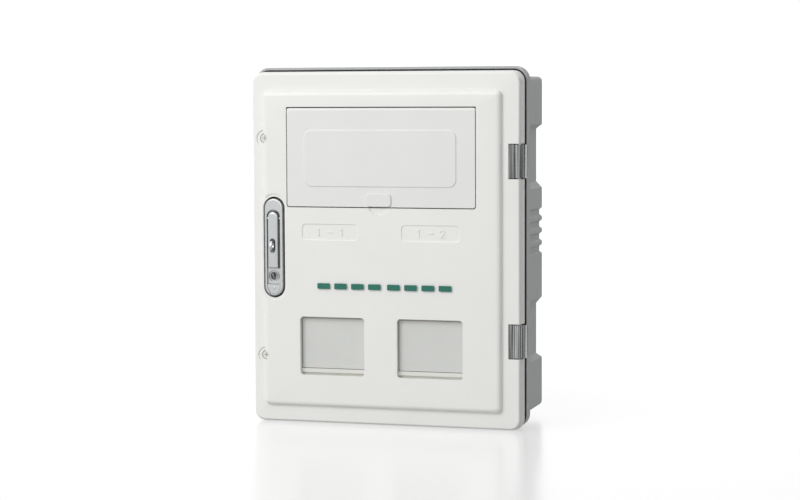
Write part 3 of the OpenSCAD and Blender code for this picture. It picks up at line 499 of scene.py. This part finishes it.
class Sky:
    """Studio surroundings: one brightness for the view, one for light and one for mirrors."""

    def __init__(self):
        self.world = bpy.data.worlds.new("studio")
        self.world.use_nodes = True
        self.tree = self.world.node_tree
        self.direction = self.tree.nodes.new("ShaderNodeTexCoord").outputs["Generated"]
        self.path = self.tree.nodes.new("ShaderNodeLightPath")

    def node(self, kind, **inputs):
        made = self.tree.nodes.new("ShaderNode" + kind)
        for name, value in inputs.items():
            made.inputs[name.replace("_", " ")].default_value = value
        return made

    def link(self, output, socket):
        self.tree.links.new(output, socket)

    def leaning(self, middle, lean, least):
        """Brightness that grows from middle along the vector lean, and never under least."""
        dot = self.node("VectorMath")
        dot.operation = "DOT_PRODUCT"
        dot.inputs[1].default_value = lean
        self.link(self.direction, dot.inputs[0])
        add = self.node("Math")
        add.inputs[1].default_value = middle
        self.link(dot.outputs["Value"], add.inputs[0])
        limit = self.node("Math")
        limit.operation = "MAXIMUM"
        limit.inputs[1].default_value = least
        self.link(add.outputs[0], limit.inputs[0])
        return limit.outputs[0]

    def across(self, axis, start, end, before, after):
        """Brightness that goes from before to after between two values along one axis."""
        split = self.node("SeparateXYZ")
        self.link(self.direction, split.inputs[0])
        ramp = self.node("MapRange", From_Min=start, From_Max=end, To_Min=before, To_Max=after)
        self.link(split.outputs[axis], ramp.inputs["Value"])
        return ramp.outputs["Result"]

    def times(self, first, second):
        """Product of two brightness patterns."""
        product = self.node("Math")
        product.operation = "MULTIPLY"
        self.link(first, product.inputs[0])
        self.link(second, product.inputs[1])
        return product.outputs[0]

    def background(self, strength=None, constant=1.0):
        """White background whose strength is a constant or follows a pattern."""
        made = self.node("Background", Color=(1, 1, 1, 1), Strength=constant)
        if strength:
            self.link(strength, made.inputs["Strength"])
        return made.outputs[0]

    def choose(self, ray, usual, special):
        """The special background for one kind of ray, and the usual one for the rest."""
        mix = self.node("MixShader")
        self.link(self.path.outputs[ray], mix.inputs[0])
        self.link(usual, mix.inputs[1])
        self.link(special, mix.inputs[2])
        return mix.outputs[0]


SEEN_LIGHT = 1.1                       # surroundings seen directly: plain white
LIGHT_MIDDLE = 0.46                    # surroundings as a source of light
LIGHT_LEAN = (-0.20, -0.255, 0.18)     # brighter to the left, in front and above
LIGHT_LEAST = 0.2
MIRROR_LIGHT = 1.1                     # surroundings as mirrored in glossy surfaces:
STRIP_EDGE = (0.50, 0.62)              # a bright strip to the right, between two x directions,
STRIP_LIGHT = 2.2
TOP_EDGE = (0.5, 0.7)                  # a brighter top,
TOP_GAIN = 1.8
SCREEN_EDGE = (0.78, 0.92)             # and a dark screen at the far right
SCREEN_GAIN = 0.05
KEY_AT = Vector((-1.2, -2.4, 1.6))
KEY_SIZE = 1.4
KEY_POWER = 35.5                       # W


def make_surroundings():
    """White studio, with light from the front left and above."""
    sky = Sky()
    lit = sky.background(sky.leaning(LIGHT_MIDDLE, LIGHT_LEAN, LIGHT_LEAST))
    strip = sky.across("X", *STRIP_EDGE, MIRROR_LIGHT, STRIP_LIGHT)
    top = sky.across("Z", *TOP_EDGE, 1.0, TOP_GAIN)
    screen = sky.across("X", *SCREEN_EDGE, 1.0, SCREEN_GAIN)
    mirrored = sky.background(sky.times(sky.times(strip, top), screen))
    seen = sky.background(constant=SEEN_LIGHT)
    surface = sky.choose("Is Camera Ray", sky.choose("Is Glossy Ray", lit, mirrored), seen)
    sky.link(surface, sky.tree.nodes["World Output"].inputs["Surface"])
    bpy.context.scene.world = sky.world


def make_key_light():
    """Large soft lamp at the upper left, aimed at the origin."""
    data = bpy.data.lights.new("key", "AREA")
    data.shape = "SQUARE"
    data.size = KEY_SIZE
    data.energy = KEY_POWER
    key = bpy.data.objects.new("key", data)
    key.location = KEY_AT
    key.rotation_euler = KEY_AT.to_track_quat("Z", "Y").to_euler()
    bpy.context.scene.collection.objects.link(key)


make_camera()
finishes = make_finishes()
paint_nodes(finishes)
make_marks(moulded("mark_print", srgb(12, 106, 90), 0.35, mottle=0.04))
for side in ("left", "right"):
    make_readout(side, moulded(f"readout_{side}", (0.02, 0.03, 0.02), 0.3, mottle=0.1))
make_floor()
make_surroundings()
make_key_light()
bpy.context.scene.view_settings.view_transform = "Standard"

bpy.context.view_layer.update()
